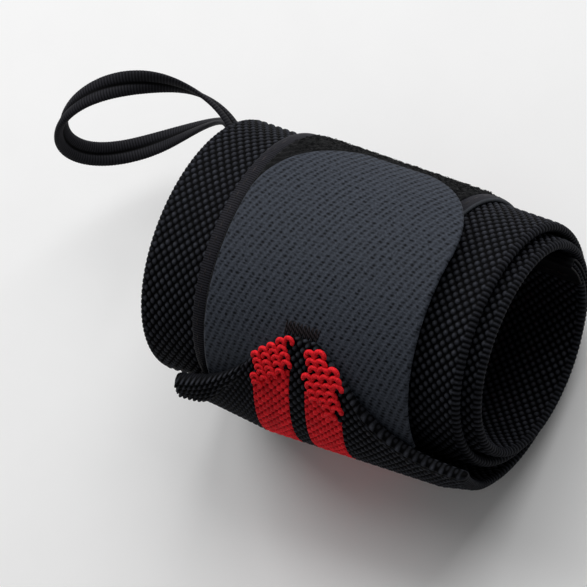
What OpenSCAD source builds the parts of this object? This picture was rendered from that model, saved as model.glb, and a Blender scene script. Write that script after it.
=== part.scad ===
// Wrist wrap brace, wound and closed as it is worn: an elastic strap wound two and a half times round an
// open wrist passage, closed by a hook tab on a loop tape, with an elastic thumb loop at the hand side.
// X runs along the forearm from hand to elbow, Y towards the thumb, Z from the back of the wrist to the palm.
// The origin is the middle of the wrist passage. Angles along the winding count from the strap's inner end,
// which lies at the thumb side: 90 is the back of the wrist, 180 the little finger side, 270 the palm.

/* [Wrist passage] */
// Width of the wrist passage at the strap's inner end, thumb side to little finger side
passage_w = 44.4; // [38:0.2:70]
// Height of the wrist passage at the strap's inner end, back of the wrist to palm
passage_h = 32.8; // [28:0.2:54]
// Narrowing of each of the two sides from the hand end of the strap to its elbow end
narrowing = 3.2; // [0:0.1:5]

/* [Strap] */
// Width of the elastic strap
strap_w = 80; // [70:1:100]
// Thickness of the elastic strap
strap_t = 2.3; // [1.8:0.1:3]
// Air between one turn of the strap and the next
turn_gap = 0.5; // [0.45:0.05:1.2]
// Rounding of the strap's selvedges
selvedge_r = 0.8; // [0.3:0.1:1]
// Sideways shift of the first turn towards the elbow
first_shift = 3.3; // [0:0.1:6]
// Depth of the flat on which the wound strap lies
rest_cut = 0.5; // [0.3:0.05:0.7]

/* [Red stripes] */
// Width of one red stripe
stripe_w = 9; // [4:0.5:12]
// Black strip between the two red stripes
stripe_gap = 4; // [2:0.5:8]
// Depth of the red warp yarns in the strap
stripe_t = 0.9; // [0.8:0.05:1.2]

/* [Inner end] */
// Length of the binding folded over the strap's inner end
hem_len = 8; // [5:0.5:12]
// Thickness of the binding tape
hem_t = 0.45; // [0.3:0.05:0.6]
// Reach of the binding's fold past the strap's inner end
hem_nose = 0.7; // [0.5:0.1:1]

/* [Loop tape] */
// Width of the loop tape
tape_w = 50; // [40:1:60]
// Thickness of the woven ground of the loop tape
tape_t = 0.6; // [0.4:0.05:0.9]
// Height of the loop pile on the tape
pile_t = 1; // [0.6:0.1:1.6]
// Bare selvedge of the loop tape on each side of the pile
tape_selvedge = 3.2; // [2:0.2:5]
// Winding angle where the loop tape starts, under the tail
tape_from = 562; // [556:1:570]
// Winding angle where the loop tape ends, past the thumb side
tape_to = 770; // [740:5:780]

/* [Tail] */
// Winding angle at which the tail folds away from the wound turns
fold_at = 855; // [848:1:862]
// Winding angle of the tail's end
tail_end_at = 965; // [955:1:972]
// Sideways shift of the tail's end towards the elbow
tail_shift = 6; // [0:0.1:10]
// Width of the tail's end where it is gathered to the tab
tail_end_w = 11; // [8:1:24]
// Length over which the tail is gathered
gather_len = 21.5; // [18:0.5:26]
// Share by which the hand side of the tail is drawn in
hand_draw = 0.28; // [0:0.01:0.35]
// Sinking of the tail's hand side, where neither the tape nor the tab lies under it
hand_sink = 2; // [0:0.1:2.6]
// Sinking of the tail's selvedge on the elbow side
elbow_sink = 1.5; // [0:0.1:2.6]
// Slot left at each fold line
fold_gap = 0.8; // [0.6:0.1:1.4]
// Slack of the tail at the little finger side, where it hangs off the turn under it
tail_slack = 0.8; // [0:0.1:2]

/* [Hook tab] */
// Width of the hook tab
tab_w = 50.5; // [40:0.5:60]
// Thickness of the hook tab's woven backing
tab_t = 0.8; // [0.5:0.05:1.2]
// Height of the hooks under the backing
hook_t = 0.4; // [0.3:0.05:0.8]
// Bare edge round the field of hooks
hook_margin = 2; // [1:0.5:4]
// Reach of the tab past the tail's end
tab_reach = 47; // [38:1:54]
// Length of the tab sewn under the tail
tab_overlap = 20; // [16:1:22]
// Rounding of the tab's two free corners
tab_corner_r = 21; // [8:1:24]
// Sideways place of the tab
tab_shift = 5.2; // [0:0.2:10]
// Place of the tab's fold line past the tail's end
tab_fold = 4.2; // [3.8:0.1:6]
// Air between the hooks and the loop pile at rest
seat_gap = 0.35; // [0.3:0.05:0.6]

/* [Thumb loop] */
// Width of the loop's elastic band
band_w = 5.5; // [4:0.5:8]
// Thickness of the band where it is free
band_t = 1.7; // [1.2:0.1:2.4]
// Thickness of the band where both ends are sewn down
band_root_t = 1; // [0.7:0.05:1.05]
// Depth of the groove along the middle of the band
band_groove = 0.25; // [0:0.05:0.4]
// Reach of the loop towards the hand
loop_reach = 43; // [32:1:60]
// Half of the loop's widest opening
loop_half = 14.4; // [10:0.2:20]
// Rise of the loop off the wrist close to its root
loop_rise = 10.3; // [4:0.1:14]
// Distance over which the loop rises
loop_run = 8; // [5:0.5:14]
// Bend of the loop over the base of the thumb at its far end
loop_drop = 22; // [0:0.5:30]
// Winding angle of the loop's root, just before the strap's inner end
root_at = -16; // [-20:0.5:-15.5]
// Length of the band sewn down inside the wrap
root_len = 18; // [10:1:30]
// Room beyond the strap's edge for the loop to swing
swing_room = 2; // [1.6:0.1:4]
// Air between the loop's rounded ends and its root
swing_gap = 0.3; // [0.3:0.05:1]

/* [Stitches] */
// Thickness of the sewing thread as it lies on the cloth
thread_t = 0.35; // [0.25:0.05:0.5]
// Length of one lock stitch
stitch_len = 2.4; // [1.6:0.2:4]
// Pitch of the lock stitches
stitch_pitch = 3.6; // [3:0.2:6]
// Length of one stitch in a bar tack
tack_len = 2.8; // [2:0.1:3]
// Pitch of the stitches in a bar tack
tack_pitch = 0.85; // [0.7:0.05:1.5]
// Stitches in a bar tack
tack_count = 10; // [5:1:12]
// Distance of the tab's bar tack from the tail's end
tack_margin = 0.4; // [0.3:0.05:0.8]

/* [Hidden] */

sewn_gap = 0.1;
semi_y = passage_w / 2;
semi_z = passage_h / 2;
half_w = strap_w / 2;
turn_pitch = strap_t + turn_gap;
stripe_in = stripe_gap / 2;
stripe_out = stripe_in + stripe_w;
tab_full_t = tab_t + hook_t;
lowest_at = 810;
station_step = 10;
fine_step = 5;
tail_step = 4;
tab_step = 3;
loop_stations = 44;

// Colours of the cloth and thread
black_weave = [0.08, 0.08, 0.09];
red_yarn = [0.75, 0.09, 0.11];
tab_grey = [0.2, 0.22, 0.25];
pile_black = [0.05, 0.05, 0.06];
thread_black = [0.12, 0.12, 0.13];

// Smooth step from 0 to 1
function ease(v) =
  let (c = min(1, max(0, v)))
  c * c * (3 - 2 * c);

function sum(list, i = 0) = i < len(list) ? list[i] + sum(list, i + 1) : 0;

// The passage is an ellipse, and the strap lies at a height above it, square to it
function ellipse_n(t) = norm([semi_y * cos(t), semi_z * sin(t)]);
function height_y(t, h) = (semi_y * semi_y / ellipse_n(t) + h) * cos(t);
function height_z(t, h) = -(semi_z * semi_z / ellipse_n(t) + h) * sin(t);

// Height of the strap's inner face, which climbs one turn's pitch in each turn and at the end, past the
// lowest point, climbs over the tape and the tab too
climb_from = lowest_at + 10;
climb_run = 70;
settle_run = 42;
tail_climb = tape_t + pile_t + seat_gap - turn_gap + tab_full_t + sewn_gap;
function lay(t) =
  let (climbed = ease((t - climb_from) / climb_run))
  let (settled = ease((t - climb_from - climb_run) / settle_run))
  turn_pitch * t / 360 + tail_climb * climbed + tail_slack * climbed * (1 - settled);
floor_z = -(semi_z + lay(lowest_at) + strap_t) + rest_cut;

// The wrist is wide at the hand and rounder towards the elbow
function drawn_in(x, t) = narrowing * (x + half_w) / strap_w * cos(t);

// A point at x, winding angle t and height h, flattened where the wrap lies on a table
function spot(x, t, h) = [x, height_y(t, h) - drawn_in(x, t), max(floor_z, height_z(t, h))];

// Length of arc per degree, and between two angles, at a height
function arc_rate(t, h) = (pow(semi_y * semi_z, 2) / pow(ellipse_n(t), 3) + h) * PI / 180;

// The winding wanders sideways: the second turn lies nearest the hand and the tail's end nearest the elbow
shift_from = fold_at + 10;
function centre_x(t) =
  first_shift * (1 - ease((t - 270) / 360))
  + tail_shift * ease((t - shift_from) / (tail_end_at - shift_from));

// Towards the tail the hand side is drawn in, and beside the tape both sides sink to the turn under them
side_at = 0.8 * half_w;
draw_from = lowest_at - 20;
draw_run = 140;
rise_from = climb_from + climb_run + 5;
rise_run = 30;
function drawn_x(across, t) =
  across < -stripe_out
    ? -stripe_out + (across + stripe_out) * (1 - hand_draw * ease((t - draw_from) / draw_run))
    : across;
function sink(across, t) =
  let (fallen = ease((t - climb_from) / climb_run) * (1 - ease((t - rise_from) / rise_run)))
  fallen * (across < 0
    ? hand_sink * min(1, max(0, (-across - stripe_out) / (side_at - stripe_out)))
    : elbow_sink * min(1, max(0, (across - side_at) / (half_w - side_at))));

// Underside of the tab
function tab_seat(t) = lay(t - 360) + strap_t + tape_t + pile_t + seat_gap;

// Distance along the tab from the tail's end, and the winding angle at such a distance
arc_step = 2;
function tab_arc(t) =
  let (steps = max(1, ceil(abs(t - tail_end_at) / arc_step)))
  let (d = (t - tail_end_at) / steps)
  sum([for (i = [0 : steps - 1])
    let (m = tail_end_at + (i + 0.5) * d)
    d * arc_rate(m, tab_seat(m) + tab_full_t / 2)]);
arc_table = [for (t = [fold_at - 20 : arc_step : tail_end_at + 160]) [tab_arc(t), t]];
function angle_at(s) = lookup(s, arc_table);

// Faces of a solid made of closed rings of points, one after another
function sweep_faces(rings, n) = concat(
  [[for (j = [n - 1 : -1 : 0]) j]],
  [for (i = [0 : rings - 2], j = [0 : n - 1])
    [i * n + j, (i + 1) * n + (j + 1) % n, (i + 1) * n + j]],
  [for (i = [0 : rings - 2], j = [0 : n - 1])
    [i * n + j, i * n + (j + 1) % n, (i + 1) * n + (j + 1) % n]],
  [[for (j = [0 : n - 1]) (rings - 1) * n + j]]
);

module sweep(rings) {
  polyhedron(
    points = [for (r = rings) each r],
    faces = sweep_faces(len(rings), len(rings[0])),
    convexity = 10
  );
}

// Section of the strap, [across, height], with sunk beds for the red stripes
function strap_section(t0, t1) =
  let (bed = max(t0 + hem_t, t1 - stripe_t))
  let (edge = half_w - selvedge_r)
  concat(
    [for (x = [-edge, -side_at, -stripe_out, stripe_out, side_at, edge]) [x, t0]],
    [[half_w, (t0 + t1) / 2], [edge, t1], [side_at, t1]],
    [[stripe_out, t1], [stripe_out, bed], [stripe_in, bed], [stripe_in, t1]],
    [[-stripe_in, t1], [-stripe_in, bed], [-stripe_out, bed], [-stripe_out, t1]],
    [[-side_at, t1], [-edge, t1], [-half_w, (t0 + t1) / 2]]
  );

// A closed rectangle, [across, height]
function flat_section(x0, x1, h0, h1) = [[x0, h0], [x1, h0], [x1, h1], [x0, h1]];

function wound_ring(t, section) =
  [for (p = section) spot(centre_x(t) + drawn_x(p.x, t), t, lay(t) - sink(p.x, t) + p.y)];

// Winding angles between two ends, at the strap's own stations, which are closer where it lies flat
function strap_angles(from, to) = concat(
  [from],
  [for (t = [ceil((from + 0.5) / fine_step) * fine_step : fine_step : to - 0.5])
    if (t % station_step == 0 || abs(t - lowest_at) <= 3 * fine_step) t],
  [to]
);

hem_to = hem_len / arc_rate(hem_len, strap_t / 2);
turns_to = fold_at - fold_gap / 2 / arc_rate(fold_at, lay(fold_at) + strap_t);
hem_angles = [for (k = [0 : 4]) hem_to * k / 4];
tongue = strap_section(hem_t + sewn_gap, strap_t - hem_t - sewn_gap);
full = strap_section(0, strap_t);

// Least air between one turn and the next, measured on the winding's own points
turn_air = min([for (t = [360 : station_step : turns_to], x = [-half_w, -side_at, 0, side_at, half_w])
  norm(spot(x, t, lay(t) - sink(x, t)) - spot(x, t - 360, lay(t - 360) + strap_t))]);
echo(least_gap_between_turns = turn_air);

// The wound strap, one unbroken piece from its inner end to the fold of the tail
module elastic_strap() {
  color(black_weave)
  sweep(concat(
    [for (t = hem_angles) wound_ring(t, tongue)],
    [for (t = strap_angles(hem_to, turns_to)) wound_ring(t, full)]
  ));
}

module strap_stripe(side) {
  x0 = side > 0 ? stripe_in + sewn_gap : -stripe_out + sewn_gap;
  section = flat_section(x0, x0 + stripe_w - 2 * sewn_gap, strap_t - stripe_t + sewn_gap, strap_t);
  color(red_yarn)
  sweep([for (t = strap_angles(hem_to, turns_to)) wound_ring(t, section)]);
}

module strap_stripe_left() {
  strap_stripe(-1);
}

module strap_stripe_right() {
  strap_stripe(1);
}

// Binding tape folded over the strap's inner end, a channel that holds the thinner tongue
module inner_end_binding() {
  nose = hem_nose / arc_rate(0, 0);
  slack = 2 * sewn_gap / arc_rate(0, 0);
  legs = [for (t = hem_angles) min(t, hem_to - slack)];
  back = [for (k = [len(legs) - 1 : -1 : 0]) legs[k]];
  // Round of the nose, as shares of its reach, of the strap's thickness and of the channel's height
  nose_round = [[0.55, 0.12, 0], [1, 0.3, 0.15], [1, 0.7, 0.85], [0.55, 0.88, 1]];
  // Outer and inner side of the folded tape, from the end of one leg to the end of the other
  fold = concat(
    [for (t = back) [[t, lay(t)], [t, lay(t) + hem_t]]],
    [for (r = nose_round) [[-nose * r[0], strap_t * r[1]], [-slack, hem_t + (strap_t - 2 * hem_t) * r[2]]]],
    [for (t = legs) [[t, lay(t) + strap_t], [t, lay(t) + strap_t - hem_t]]]
  );
  color(thread_black)
  sweep([for (f = fold) [
    for (p = [[half_w, f[0]], [-half_w, f[0]], [-half_w, f[1]], [half_w, f[1]]])
      spot(first_shift + p[0], p[1].x, p[1].y)
  ]]);
}

// One stitch lying on the cloth, long across the strap or along it
module stitch(x, t, h, across, along) {
  translate(spot(x, t, h))
  rotate([-t, 0, 0])
  cube([across, thread_t, along], center = true);
}

// Row of lock stitches that holds the binding, on the side that faces the wrist
module binding_stitching() {
  row = hem_to * 0.7;
  rows = floor((strap_w - stitch_pitch) / stitch_pitch);
  color(thread_black)
  for (i = [0 : rows - 1])
    stitch(
      first_shift + (i - (rows - 1) / 2) * stitch_pitch, row,
      lay(row) - thread_t / 2 - 2 * sewn_gap, stitch_len, thread_t
    );
}

// Woven ground of the loop tape, sewn on the outside of the second turn
module loop_tape() {
  section = flat_section(-tape_w / 2, tape_w / 2, strap_t + sewn_gap, strap_t + tape_t);
  color(black_weave)
  sweep([for (t = strap_angles(tape_from, tape_to)) wound_ring(t, section)]);
}

// Loop pile that stands on the tape between its selvedges
module loop_pile() {
  half = tape_w / 2 - tape_selvedge;
  low = strap_t + tape_t + sewn_gap;
  high = strap_t + tape_t + pile_t;
  section = [
    [-half, low], [half, low], [half, (low + high) / 2], [half - pile_t / 2, high],
    [-half + pile_t / 2, high], [-half, (low + high) / 2]
  ];
  inset = pile_t / arc_rate(lowest_at, lay(tape_to));
  color(pile_black)
  sweep([for (t = strap_angles(tape_from + inset, tape_to - inset)) wound_ring(t, section)]);
}

// Two rows of lock stitches along the selvedges of the loop tape
module loop_tape_stitching() {
  mean_h = lay((tape_from + tape_to) / 2) + strap_t + tape_t;
  steps = 42;
  d = (tape_to - tape_from) / steps;
  path = [for (k = [0 : steps])
    [sum([for (i = [0 : 1 : k - 1]) d * arc_rate(tape_from + (i + 0.5) * d, mean_h)]), tape_from + k * d]];
  count = floor(path[steps][0] / stitch_pitch) - 1;
  color(thread_black)
  for (side = [-1, 1], i = [1 : count]) {
    t = lookup(i * stitch_pitch, path);
    stitch(
      centre_x(t) + side * (tape_w - tape_selvedge) / 2, t,
      lay(t) + strap_t + tape_t + sewn_gap + thread_t / 2, thread_t, stitch_len
    );
  }
}

// Place and directions of the thumb loop's root, in the pocket before the strap's inner end
root_h = strap_t / 2;
swing_x = -half_w - swing_room;
swing_at = spot(swing_x, root_at, root_h);
root_out = [0, cos(root_at), -sin(root_at)];
root_side = [0, sin(root_at), cos(root_at)];
end_r = band_root_t + 2 * sewn_gap;
root_from = swing_x + end_r + swing_gap;
echo(thumb_loop_swing_at = swing_at, axis = root_side);

// Section of the band, [across, height]: two soft ridges with a groove between them
function band_section(w, t, groove = band_groove) = [
  [-w / 2, 0], [-w / 4, -t / 2], [0, -t / 2 + groove], [w / 4, -t / 2],
  [w / 2, 0], [w / 4, t / 2], [0, t / 2 - groove], [-w / 4, t / 2]
];

// Both ends of the band, laid on each other and sewn down, in line with the wall beside them
module thumb_loop_root() {
  shift = band_root_t / 2 + sewn_gap;
  lean = -atan(drawn_in(strap_w - half_w, root_at) / strap_w);
  color(black_weave)
  for (layer = [-1, 1])
    translate(spot(root_from, root_at, root_h) + root_out * layer * shift)
    rotate([0, 0, lean])
    rotate([-root_at, 0, 0])
    rotate([0, 90, 0])
    linear_extrude(root_len)
    polygon(band_section(band_w, band_root_t));
}

// Bar tack that holds the band's ends to the binding, on the side that faces the wrist
module thumb_loop_bartack() {
  from_x = root_from + root_len - tack_pitch;
  sag = band_w * band_w / 8 / semi_y;
  color(thread_black)
  for (i = [0 : tack_count - 1])
    stitch(
      from_x - i * tack_pitch, root_at / 3,
      -thread_t / 2 - 2 * sewn_gap - sag, tack_pitch * 0.6, band_w
    );
}

// Centre line of the free loop: a drop shape that lies over the base of the thumb
function loop_out(u) = loop_reach * sin(180 * u);
function loop_y(d) =
  swing_at.y + loop_rise * (1 - exp(-d / loop_run)) - loop_drop * pow(d / loop_reach, 2);
function loop_line(u) = [
  swing_x - loop_out(u), loop_y(loop_out(u)), swing_at.z + loop_half * sin(360 * u)
];

// The two strands lie on each other at the root, to either side of the centre line
function loop_point(u) =
  let (d = loop_out(u))
  let (slope = (loop_y(d + 0.1) - loop_y(d)) / 0.1)
  loop_line(u)
  + [slope, 1, 0] / norm([slope, 1]) * cos(180 * u) * (band_root_t / 2 + 2 * sewn_gap);

function unit(v) = v / norm(v);

// The band leaves its root square to the line on which it swings, and turns to lie flat round the thumb
function across_swing(v) = v - root_side * (v * root_side);
function loop_along(u) =
  let (v = loop_point(min(1, u + 0.004)) - loop_point(max(0, u - 0.004)))
  unit(u > 0 && u < 1 ? v : across_swing(v));
function loop_ring(u, groove = band_groove) =
  let (along = loop_along(u))
  let (turn = ease(min(u, 1 - u) / 0.3))
  let (wish = root_side * (1 - turn) * (u < 0.5 ? 1 : -1) + [0, 1, 0] * turn)
  let (side = unit(wish - along * (wish * along)))
  let (up = cross(side, along))
  let (t = band_root_t + (band_t - band_root_t) * turn)
  [for (p = band_section(band_w, t, groove)) loop_point(u) + side * p.x + up * p.y];

// Either end of the loop is rounded about the line on which it swings, and the groove runs out there
function loop_cap(u) =
  let (back = loop_along(u) * (u < 0.5 ? -1 : 1))
  [for (p = loop_ring(u, 0))
    let (off = across_swing(p - swing_at))
    let (round = off + back * sqrt(max(sewn_gap, end_r * end_r - off * off)))
    p - off + round * min(1, end_r / norm(round))];

module thumb_loop() {
  color(black_weave)
  sweep(concat(
    [loop_cap(0)],
    [for (k = [0 : loop_stations]) loop_ring(k / loop_stations)],
    [loop_cap(1)]
  ));
}

// Half width of the tail at a distance before its end, and the gathering of its cloth to that width
function tail_half(back) =
  tail_end_w / 2 + (half_w - tail_end_w / 2) * pow(min(1, max(0, back / gather_len)), 1.5);
function gather(across, half) =
  let (core = min(stripe_out, half - 1))
  abs(across) <= stripe_out
    ? across * core / stripe_out
    : sign(across) * (core + (abs(across) - stripe_out) * (half - core) / (half_w - stripe_out));

function tail_ring(t, section) =
  let (half = tail_half(-tab_arc(t)))
  [for (p = section)
    spot(centre_x(t) + drawn_x(gather(p.x, half), t), t, lay(t) - sink(p.x, t) + p.y)];

tail_from = fold_at + fold_gap / 2 / arc_rate(fold_at, lay(fold_at) + strap_t);
nose_at = angle_at(-hem_nose);
function tail_angles(to) = concat(
  [for (t = [tail_from : tail_step : to - tail_step / 2]) t],
  [to]
);

// Free end of the strap, gathered to a narrow end that lies over the tab
module strap_tail() {
  color(black_weave)
  sweep(concat(
    [for (t = tail_angles(nose_at)) tail_ring(t, full)],
    [tail_ring(tail_end_at, strap_section(strap_t * 0.3, strap_t * 0.8))]
  ));
}

module tail_stripe(side) {
  x0 = side > 0 ? stripe_in + sewn_gap : -stripe_out + sewn_gap;
  section = flat_section(x0, x0 + stripe_w - 2 * sewn_gap, strap_t - stripe_t + sewn_gap, strap_t);
  color(red_yarn)
  sweep([for (t = tail_angles(nose_at)) tail_ring(t, section)]);
}

module tail_stripe_left() {
  tail_stripe(-1);
}

module tail_stripe_right() {
  tail_stripe(1);
}

// A ring of the tab at a distance past the tail's end, with its half width and its two faces
function tab_ring(s, half, h0, h1) =
  let (t = angle_at(s))
  [for (p = flat_section(-half, half, h0, h1)) spot(tab_shift + p.x, t, tab_seat(t) + p.y)];

// Half width of the tab, with round free corners, for a tab whose edge is drawn in by a margin
function tab_half(s, margin) =
  let (r = tab_corner_r - margin)
  let (past = max(0, s - (tab_reach - tab_corner_r)))
  tab_w / 2 - margin - r + sqrt(max(0, r * r - past * past));

// Distances along the free tab: even steps, then even angles round its corners
function tab_stations(from, margin) =
  let (straight = tab_reach - tab_corner_r)
  let (steps = ceil((straight - from) / tab_step))
  concat(
    [for (i = [0 : steps]) from + (straight - from) * i / steps],
    [for (a = [10 : 10 : 90]) straight + (tab_corner_r - margin) * sin(a)]
  );

// Part of the tab that is sewn under the tail, up to the tab's fold line
module tab_root() {
  last = tab_fold - fold_gap / 2;
  steps = ceil((last + tab_overlap) / tab_step);
  color(tab_grey)
  sweep([for (i = [0 : steps])
    tab_ring(-tab_overlap + (last + tab_overlap) * i / steps, tab_w / 2, 0, tab_full_t)]);
}

// Bar tack through the tab just past the tail's end
module tab_bartack() {
  middle = angle_at(tack_margin + tack_len / 2);
  color(thread_black)
  for (i = [0 : tack_count - 1])
    stitch(
      tail_shift + (i - (tack_count - 1) / 2) * tack_pitch, middle,
      tab_seat(middle) + tab_full_t + sewn_gap + thread_t / 2, tack_pitch * 0.55, tack_len
    );
}

// Woven backing of the free hook tab
module hook_tab() {
  color(tab_grey)
  sweep([for (s = tab_stations(tab_fold + fold_gap / 2, 0)) tab_ring(s, tab_half(s, 0), hook_t, tab_full_t)]);
}

// Field of moulded hooks under the tab
module hook_field() {
  color(thread_black)
  sweep([for (s = tab_stations(tab_fold + fold_gap / 2 + hook_margin, hook_margin))
    tab_ring(s, tab_half(s, hook_margin), 0, hook_t - sewn_gap)]);
}

// Fold lines: on the outer face of the strap for the tail, and on the tab's upper face for the tab
tab_fold_at = angle_at(tab_fold);
function fold_axis(t) = unit(spot(half_w, t, 0) - spot(-half_w, t, 0));
echo(floor_z = floor_z);
echo(tail_fold_line = spot(0, fold_at, lay(fold_at) + strap_t), axis = fold_axis(fold_at));
echo(
  tab_fold_line = spot(tab_shift, tab_fold_at, tab_seat(tab_fold_at) + tab_full_t),
  axis = fold_axis(tab_fold_at)
);

elastic_strap();
strap_stripe_left();
strap_stripe_right();
inner_end_binding();
binding_stitching();
loop_tape();
loop_pile();
loop_tape_stitching();
thumb_loop_root();
thumb_loop_bartack();
thumb_loop();
strap_tail();
tail_stripe_left();
tail_stripe_right();
tab_root();
tab_bartack();
hook_tab();
hook_field();
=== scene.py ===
import math

import bmesh
import bpy
import numpy as np
from mathutils import Matrix, Vector


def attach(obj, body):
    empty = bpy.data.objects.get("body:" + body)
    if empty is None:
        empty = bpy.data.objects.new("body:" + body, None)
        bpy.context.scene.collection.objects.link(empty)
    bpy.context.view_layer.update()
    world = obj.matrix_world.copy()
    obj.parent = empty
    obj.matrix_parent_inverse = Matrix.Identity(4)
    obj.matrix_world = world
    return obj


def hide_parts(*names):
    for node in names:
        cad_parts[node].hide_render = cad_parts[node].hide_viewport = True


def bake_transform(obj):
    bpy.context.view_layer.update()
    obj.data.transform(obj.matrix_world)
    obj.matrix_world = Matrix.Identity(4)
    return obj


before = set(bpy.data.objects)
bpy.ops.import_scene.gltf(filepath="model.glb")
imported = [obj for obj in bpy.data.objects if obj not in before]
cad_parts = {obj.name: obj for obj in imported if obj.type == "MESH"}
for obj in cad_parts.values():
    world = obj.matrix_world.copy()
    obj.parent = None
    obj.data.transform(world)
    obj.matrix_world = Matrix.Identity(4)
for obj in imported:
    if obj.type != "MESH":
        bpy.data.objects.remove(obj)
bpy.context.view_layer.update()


# Elastic strap
# An 80 mm webbing of black polyester yarn over covered rubber threads, so coarse that each crossing stands
# up as a bead. It is wound in two and a half turns round an oval passage, a little stretched.
strap_w = 80.0
half_w = strap_w / 2.0
strap_t = 2.3
mid_t = strap_t / 2.0
yarn = 1.0
yarn_faces = 3
pick = 1.175
bead_rise = 0.48
bead_r = 0.63
rim = 1.5
stripe_from = 2.0
stripe_to = 11.0
passage_y = 22.2
passage_z = 16.4
passage_taper = 3.2
rest_z = -24.5
turn_rise = 2.8
tape_and_tab = 2.75
tail_slack = 0.8
climb_at = 820.0
climb_over = 70.0
settle_at = 890.0
settle_over = 42.0
inner_shift = 3.3
inner_shift_to = 270.0
tail_shift = 6.0
tail_shift_at = 865.0
tail_shift_over = 100.0
drawn_share = 0.28
drawn_at = 790.0
drawn_over = 140.0
hand_sink = 2.0
hand_sink_over = 21.0
elbow_sink = 1.5
elbow_sink_from = 32.0
level_at = 895.0
level_over = 30.0
end_squeeze = 0.48
end_squeeze_to = 7.4


def ease(v):
    """Smooth step from 0 to 1."""
    c = np.clip(v, 0.0, 1.0)
    return c * c * (3.0 - 2.0 * c)


def lay(t):
    """Height in mm of the strap's inner face over the passage at a winding angle in degrees."""
    climbed = ease((t - climb_at) / climb_over)
    settled = ease((t - settle_at) / settle_over)
    return turn_rise * t / 360.0 + tape_and_tab * climbed + tail_slack * climbed * (1.0 - settled)


def centre_x(t):
    """Place in mm of the strap's middle along the passage, nearer its narrow end at first and in the tail."""
    inner = inner_shift * (1.0 - ease((t - inner_shift_to) / 360.0))
    return inner + tail_shift * ease((t - tail_shift_at) / tail_shift_over)


def drawn_x(u, t):
    """Place in mm across the strap: towards the tail the hand side is drawn in."""
    drawn = 1.0 - drawn_share * ease((t - drawn_at) / drawn_over)
    return np.where(u < -stripe_to, -stripe_to + (u + stripe_to) * drawn, u)


def sink(u, t):
    """How far in mm the sides of the last part fall beside the tape, which lies under its middle only."""
    fallen = ease((t - climb_at) / climb_over) * (1.0 - ease((t - level_at) / level_over))
    hand = hand_sink * np.clip((-u - stripe_to) / hand_sink_over, 0.0, 1.0)
    elbow = elbow_sink * np.clip((u - elbow_sink_from) / (half_w - elbow_sink_from), 0.0, 1.0)
    return fallen * (hand + elbow)


def wound(x, t, h):
    """Points in mm at x along the oval passage, winding angle t and height h over it."""
    a = np.radians(t)
    n = np.hypot(passage_y * np.cos(a), passage_z * np.sin(a))
    drawn_in = passage_taper * (x + half_w) / strap_w
    y = (passage_y ** 2 / n + h - drawn_in) * np.cos(a)
    z = -(passage_z ** 2 / n + h) * np.sin(a)
    return np.stack(np.broadcast_arrays(x, y, np.maximum(z, rest_z)), axis=-1)


def arc_table(t, height):
    """Length of arc in mm up to each winding angle of t, at a height."""
    a = np.radians(t)
    n = np.hypot(passage_y * np.cos(a), passage_z * np.sin(a))
    rate = ((passage_y * passage_z) ** 2 / n ** 3 + height) * math.pi / 180.0
    return np.concatenate([[0.0], np.cumsum((rate[1:] + rate[:-1]) / 2.0 * np.diff(t))])


strap_angles = np.arange(0.0, 980.0, 0.5)
strap_run = arc_table(strap_angles, lay(strap_angles) + mid_t)


def beads(u, v, radius):
    """Rise, from 0 to 1, of the beads on every other crossing, at u yarns across and v picks along."""
    p = (u + v) / 2.0
    q = (u - v) / 2.0 + 0.5
    off = (p - np.floor(p) - 0.5) ** 2 + (q - np.floor(q) - 0.5) ** 2
    return np.sqrt(np.clip(1.0 - 2.0 * off / radius ** 2, 0.0, 1.0))


def mesh_of(name, bm):
    """A mesh with what was built up in bm."""
    mesh = bpy.data.meshes.new(name)
    bm.to_mesh(mesh)
    bm.free()
    return mesh


def new_piece(mesh):
    """A smooth piece with its mesh's name."""
    mesh.shade_smooth()
    piece = bpy.data.objects.new(mesh.name, mesh)
    bpy.context.collection.objects.link(piece)
    return piece


def points_of(mesh):
    """Vertices of a mesh, and the vertex at each corner of its faces."""
    points = np.empty(len(mesh.vertices) * 3)
    mesh.vertices.foreach_get("co", points)
    corner = np.empty(len(mesh.loops), dtype=np.int32)
    mesh.loops.foreach_get("vertex_index", corner)
    return points.reshape(-1, 3), corner


def cloth(name, strips, place, outline=None, grain=None):
    """A closed sheet of grids (u0, u1, faces across, v0, v1, faces along), cut flat in mm and laid by place.

    Its pattern follows the flat cut, or what grain makes of each face's corners in it."""
    bm = bmesh.new()
    for u0, u1, nu, v0, v1, nv in strips:
        at = Matrix.Translation(((u0 + u1) / 2.0, (v0 + v1) / 2.0, 0.0))
        size = Matrix.Diagonal(((u1 - u0) / 2.0, (v1 - v0) / 2.0, 1.0, 1.0))
        bmesh.ops.create_grid(bm, x_segments=nu, y_segments=nv, size=1.0, matrix=at @ size)
    upper = bmesh.ops.extrude_face_region(bm, geom=bm.faces[:], use_keep_orig=True)["geom"]
    upper = [g for g in upper if isinstance(g, bmesh.types.BMVert)]
    bmesh.ops.translate(bm, verts=upper, vec=(0.0, 0.0, 1.0))
    bmesh.ops.recalc_face_normals(bm, faces=bm.faces[:])
    mesh = mesh_of(name, bm)
    flat, corner = points_of(mesh)
    if outline:
        flat[:, 0], flat[:, 1] = outline(flat[:, 0], flat[:, 1])
    drawn = flat[corner, :2]
    if grain:
        drawn = grain(drawn.reshape(-1, 4, 2))
    mesh.uv_layers.new(name="flat").data.foreach_set("uv", drawn.ravel())
    laid = place(flat[:, 0], flat[:, 1], flat[:, 2])
    mesh.vertices.foreach_set("co", (laid * 0.001).ravel())
    return new_piece(mesh)


def rounding(u, start, over):
    """Share of the thickness that is left near the selvedge, which is round."""
    past = np.clip((np.abs(u) - half_w + start) / over, 0.0, 1.0)
    return np.sqrt(1.0 - past ** 2)


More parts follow.
